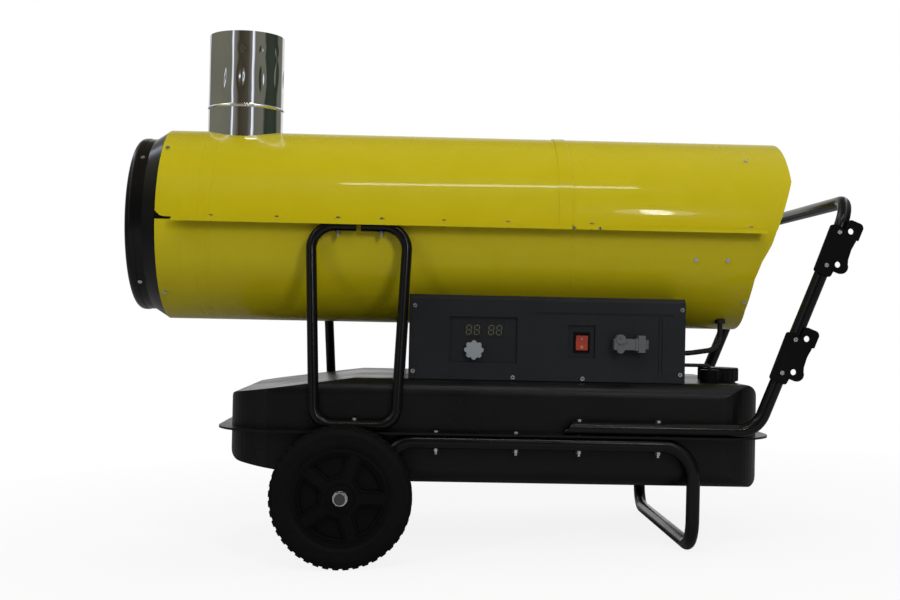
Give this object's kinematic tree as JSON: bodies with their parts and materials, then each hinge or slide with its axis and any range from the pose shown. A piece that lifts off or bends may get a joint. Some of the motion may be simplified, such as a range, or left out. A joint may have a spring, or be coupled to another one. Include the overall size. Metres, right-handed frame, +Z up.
{
  "type": "oil-fired space heater",
  "caption": "Indirect oil-fired warm-air heater with a cylindrical casing, flue spigot, fuel tank, control panel, push handle and two wheels.",
  "frame": {"origin": "middle of the overall box at floor level, between the wheels and the foot bar", "axes": "+X from the warm-air outlet to the push handle, +Y away from the control panel, +Z up from the floor"},
  "size_m": [1.3766, 0.682, 1.0235],
  "materials": {
    "yellow_paint": "gloss yellow paint on sheet steel",
    "black_paint": "satin black paint on steel",
    "stainless": "bright stainless sheet, slightly dented",
    "zinc": "bright zinc plating",
    "heat_steel": "heat-stained steel",
    "plain_steel": "galvanised sheet",
    "brass": "turned brass",
    "copper": "drawn copper",
    "ceramic": "white glazed ceramic",
    "cast": "cast aluminium",
    "motor_paint": "grey enamel",
    "tank_plastic": "satin black moulded plastic",
    "filter_plastic": "pale plastic bowl",
    "black_plastic": "black moulded plastic",
    "panel_plastic": "fine-textured dark plastic",
    "tyre_rubber": "black rubber",
    "rubber": "black rubber",
    "grey_plastic": "grey plastic",
    "red_plastic": "red plastic",
    "display": "dark display face with unlit segments",
    "board": "green circuit board"
  },
  "bodies": {
    "heater": {"outlet_ring": "black_paint", "lower_shell": "yellow_paint", "upper_front_shell": "yellow_paint", "upper_rear_shell": "yellow_paint", "casing_screws": "zinc", "rear_grille": "black_paint", "flue_spigot": "stainless", "heat_exchanger": "heat_steel", "combustion_chamber": "heat_steel", "front_stays": "plain_steel", "exchanger_saddles": "plain_steel", "blast_tube": "heat_steel", "flame_disc": "heat_steel", "nozzle_rod": "brass", "electrodes": "ceramic", "nozzle_line": "copper", "fan_motor": "motor_paint", "motor_tray": "plain_steel", "fuel_pump": "cast", "suction_hose": "rubber", "fuel_filter": "filter_plastic", "suction_pipe": "brass", "level_sender": "black_plastic", "tank_upper": "tank_plastic", "tank_lower": "tank_plastic", "filler_strainer": "filter_plastic", "drain_plug": "zinc", "foot_tube": "black_paint", "axle": "zinc", "axle_washers": "zinc", "axle_nuts": "zinc", "hoop_left": "black_paint", "hoop_right": "black_paint", "frame_bolts": "zinc", "handle": "black_paint", "cord_hook_upper": "black_plastic", "cord_hook_lower": "black_plastic", "console": "black_paint", "control_panel": "panel_plastic", "cover_screws": "zinc", "led_displays": "display", "display_board": "board", "switch_housing": "black_plastic", "thermostat_socket": "grey_plastic", "ignition_transformer": "black_plastic", "motor_lead": "rubber", "sender_lead": "rubber", "bushings": "rubber"},
    "wheel_left_set": {"wheel_left": "black_plastic", "tyre_left": "tyre_rubber"},
    "wheel_right_set": {"wheel_right": "black_plastic", "tyre_right": "tyre_rubber"},
    "rotor": {"fan": "cast", "motor_shaft": "plain_steel"},
    "knob": {"thermostat_knob": "grey_plastic"},
    "switch": {"rocker": "red_plastic"},
    "plug": {"bridge_plug": "grey_plastic"},
    "cap_seal": {"cap_gasket": "rubber"},
    "cap": {"fuel_cap": "tank_plastic"}
  },
  "joints": [
    {"name": "wheel_left_turn", "type": "hinge", "parent": "heater", "child": "wheel_left_set", "pos_m": [-0.2759, -0.305, 0.128], "axis": [0, 1, 0], "continuous": true},
    {"name": "wheel_right_turn", "type": "hinge", "parent": "heater", "child": "wheel_right_set", "pos_m": [-0.2759, 0.305, 0.128], "axis": [0, 1, 0], "continuous": true},
    {"name": "fan_turn", "type": "hinge", "parent": "heater", "child": "rotor", "pos_m": [0.32487, 0, 0.60268], "axis": [0.999, 0, -0.0446], "continuous": true},
    {"name": "knob_turn", "type": "hinge", "parent": "heater", "child": "knob", "pos_m": [-0.0277, -0.225, 0.38248], "axis": [0, 1, 0], "range_deg": [0, 270]},
    {"name": "switch_rock", "type": "hinge", "parent": "heater", "child": "switch", "pos_m": [0.17458, -0.217, 0.39097], "axis": [0.999, 0, -0.0446], "range_deg": [-14, 0]},
    {"name": "plug_pull", "type": "slide", "parent": "heater", "child": "plug", "axis": [-0.999, 0, 0.0446], "range_m": [0, 0.03]},
    {"name": "cap_lift", "type": "slide", "parent": "heater", "child": "cap_seal", "axis": [0.0446, 0, 0.999], "range_m": [0, 0.01]},
    {"name": "cap_turn", "type": "hinge", "parent": "cap_seal", "child": "cap", "pos_m": [0.45955, -0.095, 0.3234], "axis": [0.0446, 0, 0.999], "range_deg": [0, 720]}
  ],
  "couplings": [
    {"joint": "cap_lift", "follows": "cap_turn", "m_per_rad": 0.00079577}
  ]
}
